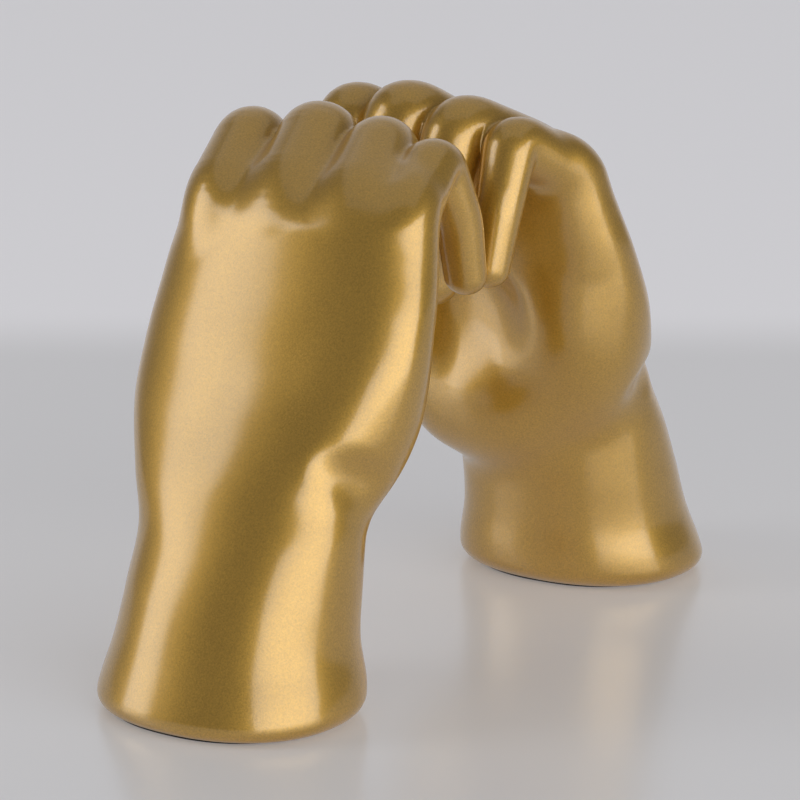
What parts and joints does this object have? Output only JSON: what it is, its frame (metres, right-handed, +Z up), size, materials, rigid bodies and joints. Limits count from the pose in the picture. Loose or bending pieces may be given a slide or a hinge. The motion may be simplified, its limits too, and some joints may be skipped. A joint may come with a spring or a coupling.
{
  "type": "pair of ceramic hand bookends",
  "caption": "Mirrored pair of ceramic hands standing on padded wrists, leaning together with hooked fingers; a decorative sculpture that also props up books.",
  "frame": {"origin": "on the standing surface, under the middle of the pair", "axes": "+X from the right hand to the left hand, +Y across the hands towards the thumbs, +Z up"},
  "size_m": [0.2432, 0.0932, 0.158],
  "materials": {
    "gold_ceramic": "satin metallic gold glaze",
    "black_pad": "matte black"
  },
  "bodies": {
    "root": {"right_hand": "gold_ceramic", "left_hand": "gold_ceramic", "right_pad": "black_pad", "left_pad": "black_pad"}
  },
  "joints": []
}
